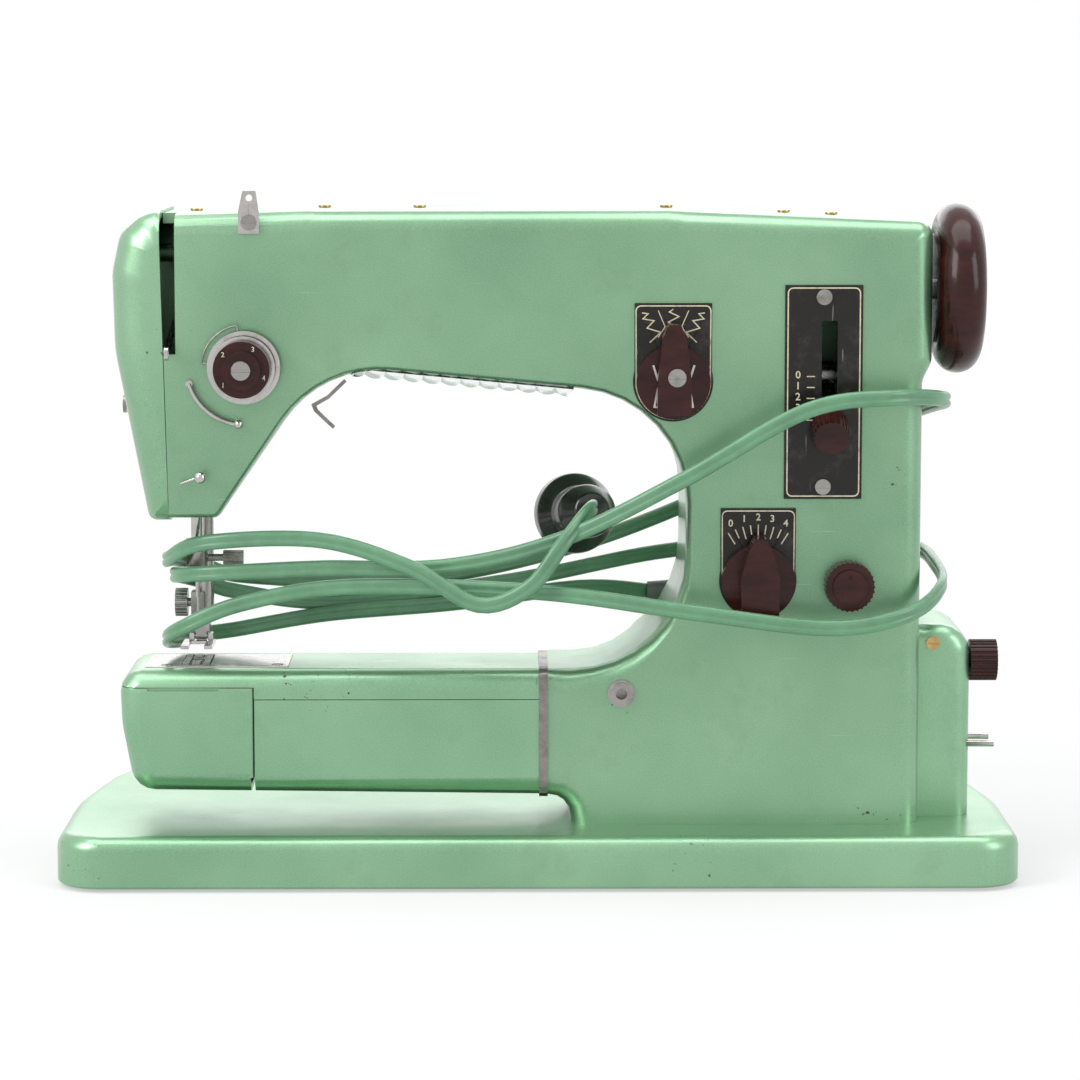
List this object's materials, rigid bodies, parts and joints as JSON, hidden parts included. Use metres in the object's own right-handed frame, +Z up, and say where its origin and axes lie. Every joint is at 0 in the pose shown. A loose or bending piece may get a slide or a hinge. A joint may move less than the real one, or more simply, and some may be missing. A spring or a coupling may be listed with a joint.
{
  "type": "free-arm sewing machine",
  "caption": "Domestic free-arm sewing machine on a flat base tray, green enamel with brown knobs, its flat mains lead wound round it.",
  "frame": {"origin": "on the table, under the middle of the base tray", "axes": "+X along the arm from the needle to the hand wheel, +Y away from the user, +Z up"},
  "size_m": [0.42, 0.2003, 0.3016],
  "materials": {
    "enamel_base": "metallic green enamel, clear gloss",
    "foot_rubber": "matt",
    "enamel_body": "metallic green enamel with small chips",
    "ring_steel": "bright edge",
    "enamel_arm": "metallic green enamel",
    "enamel_front_cover": "metallic green enamel",
    "enamel_shuttle_cover": "metallic green enamel",
    "plate_chrome": "polished",
    "dog_steel": "hardened teeth",
    "enamel_face": "metallic green enamel",
    "screw_steel": "slotted heads, slightly tarnished",
    "guide_chrome": "polished sheet",
    "cap_brass": "tarnished",
    "tension_chrome": "polished discs",
    "tension_brown": "brown moulded, cream figures",
    "spring_wire": "bright wire",
    "guard_wire": "polished wire",
    "pin_steel": "polished",
    "pattern_black": "black with cream line drawing",
    "pattern_brown": "brown moulded",
    "stitch_black": "black with cream frame and figures",
    "stitch_brown": "brown fluted knob on a steel arm",
    "width_black": "black with cream frame and figures",
    "width_brown": "brown moulded",
    "feed_ring_brown": "brown fluted",
    "feed_brown": "brown polished disc",
    "socket_steel": "worn",
    "bush_brass": "sintered",
    "shaft_steel": "ground",
    "wheel_brown": "brown moulded, glossy",
    "clutch_brown": "brown moulded",
    "timing_rubber": "matt",
    "low_steel": "ground",
    "hook_steel": "polished",
    "case_steel": "satin",
    "bobbin_steel": "bright",
    "motor_iron": "painted grey",
    "motor_shaft_steel": "ground",
    "motor_rubber": "matt",
    "bracket_alloy": "cast",
    "enamel_motor_cover": "metallic green enamel",
    "inlet_black": "black moulded with steel pins",
    "switch_brown": "brown fluted",
    "holder_black": "black moulded",
    "bulb_glass": "clear glass",
    "lens_glass": "fluted, clear",
    "clip_steel": "spring wire",
    "needle_bar_steel": "ground",
    "clamp_steel": "nickelled",
    "needle_steel": "polished",
    "link_steel": "plain",
    "take_up_steel": "polished",
    "presser_steel": "ground, nickelled screw",
    "presser_spring_steel": "spring steel",
    "foot_steel": "polished",
    "lifter_steel": "nickelled",
    "sleeve_grey": "grey moulded",
    "cord_green": "green flex, satin",
    "plug_black": "black moulded",
    "pin_brass": "nickelled brass"
  },
  "bodies": {
    "machine": {"base": "enamel_base", "base_feet": "foot_rubber", "body": "enamel_body", "arm_joint_ring": "ring_steel", "free_arm": "enamel_arm", "arm_front_cover": "enamel_front_cover", "needle_plate": "plate_chrome", "face_cover": "enamel_face", "cover_screws": "screw_steel", "thread_guide": "guide_chrome", "oil_caps": "cap_brass", "tension_cup": "tension_chrome", "check_spring": "spring_wire", "thread_guard": "guard_wire", "thread_pin": "pin_steel", "pattern_plate": "pattern_black", "stitch_plate": "stitch_black", "width_plate": "width_black", "feed_knob_ring": "feed_ring_brown", "accessory_socket": "socket_steel", "bushes": "bush_brass", "timing_belt": "timing_rubber", "bobbin_case": "case_steel", "bobbin": "bobbin_steel", "motor": "motor_iron", "motor_belt": "motor_rubber", "motor_bracket": "bracket_alloy", "motor_cover": "enamel_motor_cover", "inlet_block": "inlet_black", "lamp_holder": "holder_black", "lamp_bulb": "bulb_glass", "lamp_lens": "lens_glass", "lens_clip": "clip_steel", "presser_spring": "presser_spring_steel", "cord_sleeve": "sleeve_grey", "cord": "cord_green", "plug": "plug_black", "plug_pins": "pin_brass"},
    "main": {"main_shaft": "shaft_steel", "handwheel": "wheel_brown"},
    "clutch": {"clutch_knob": "clutch_brown"},
    "lower": {"lower_shaft": "low_steel", "hook": "hook_steel"},
    "motor_rotor": {"motor_shaft": "motor_shaft_steel"},
    "needle_slide": {"needle_bar": "needle_bar_steel", "needle_clamp": "clamp_steel", "needle": "needle_steel", "needle_bar_link": "link_steel"},
    "take_up": {"take_up_lever": "take_up_steel"},
    "lifter": {"presser_lifter": "lifter_steel"},
    "presser": {"presser_bar": "presser_steel"},
    "foot": {"presser_foot": "foot_steel"},
    "tension": {"tension_dial": "tension_brown"},
    "pattern": {"pattern_knob": "pattern_brown"},
    "width": {"width_knob": "width_brown"},
    "stitch": {"stitch_lever": "stitch_brown"},
    "feed_selector": {"feed_knob": "feed_brown"},
    "feed": {"feed_dog": "dog_steel"},
    "shuttle_door": {"shuttle_cover": "enamel_shuttle_cover"},
    "switch": {"switch_knob": "switch_brown"}
  },
  "joints": [
    {"name": "main_shaft_turn", "type": "hinge", "parent": "machine", "child": "main", "pos_m": [0.096, -0.038, 0.258], "axis": [1, 0, 0], "continuous": true},
    {"name": "clutch_knob_turn", "type": "hinge", "parent": "main", "child": "clutch", "pos_m": [0.184, -0.038, 0.258], "axis": [1, 0, 0], "range_deg": [0, 90]},
    {"name": "lower_shaft_turn", "type": "hinge", "parent": "machine", "child": "lower", "pos_m": [0, -0.038, 0.062], "axis": [1, 0, 0], "continuous": true},
    {"name": "motor_shaft_turn", "type": "hinge", "parent": "machine", "child": "motor_rotor", "pos_m": [0.11, -0.022, 0.066], "axis": [1, 0, 0], "continuous": true},
    {"name": "needle_bar_slide", "type": "slide", "parent": "machine", "child": "needle_slide", "axis": [0, 0, 1], "range_m": [-0.026, 0]},
    {"name": "take_up_swing", "type": "hinge", "parent": "machine", "child": "take_up", "pos_m": [-0.16, -0.008, 0.25], "axis": [-1, 0, 0], "range_deg": [0, 40]},
    {"name": "presser_lifter_turn", "type": "hinge", "parent": "machine", "child": "lifter", "pos_m": [-0.148, 0, 0.176], "axis": [-1, 0, 0], "range_deg": [0, 70]},
    {"name": "presser_bar_slide", "type": "slide", "parent": "machine", "child": "presser", "axis": [0, 0, 1], "range_m": [-0.0054, 0], "deforming": ["presser_spring"]},
    {"name": "presser_foot_tilt", "type": "hinge", "parent": "presser", "child": "foot", "pos_m": [-0.151, -0.0306, 0.1024], "axis": [1, 0, 0], "range_deg": [-10, 10]},
    {"name": "tension_dial_turn", "type": "hinge", "parent": "machine", "child": "tension", "pos_m": [-0.127, -0.086, 0.2258], "axis": [0, -1, 0], "range_deg": [-150, 150]},
    {"name": "pattern_knob_turn", "type": "hinge", "parent": "machine", "child": "pattern", "pos_m": [0.0585, -0.076, 0.2192], "axis": [0, -1, 0], "range_deg": [-45, 45]},
    {"name": "width_knob_turn", "type": "hinge", "parent": "machine", "child": "width", "pos_m": [0.0958, -0.076, 0.1322], "axis": [0, -1, 0], "range_deg": [-42, 42]},
    {"name": "stitch_lever_swing", "type": "hinge", "parent": "machine", "child": "stitch", "pos_m": [0.12625, -0.037, 0.219], "axis": [-1, 0, 0], "range_deg": [0, 50]},
    {"name": "feed_knob_turn", "type": "hinge", "parent": "machine", "child": "feed_selector", "pos_m": [0.1354, -0.076, 0.1303], "axis": [0, -1, 0], "range_deg": [0, 90]},
    {"name": "feed_dog_drop", "type": "slide", "parent": "machine", "child": "feed", "axis": [0, 0, 1], "range_m": [-0.0025, 0]},
    {"name": "shuttle_cover_door", "type": "hinge", "parent": "machine", "child": "shuttle_door", "pos_m": [-0.12615, -0.0684, 0.06], "axis": [0, 0, 1], "range_deg": [0, 90]},
    {"name": "switch_knob_turn", "type": "hinge", "parent": "machine", "child": "switch", "pos_m": [0.198, -0.04, 0.0925], "axis": [1, 0, 0], "range_deg": [0, 90]}
  ],
  "couplings": [
    {"joint": "lower_shaft_turn", "follows": "main_shaft_turn", "ratio": 2},
    {"joint": "motor_shaft_turn", "follows": "main_shaft_turn", "ratio": 3.1429},
    {"joint": "presser_lifter_turn", "follows": "presser_bar_slide", "rad_per_m": -226.25},
    {"joint": "feed_knob_turn", "follows": "feed_dog_drop", "rad_per_m": -628.32}
  ]
}
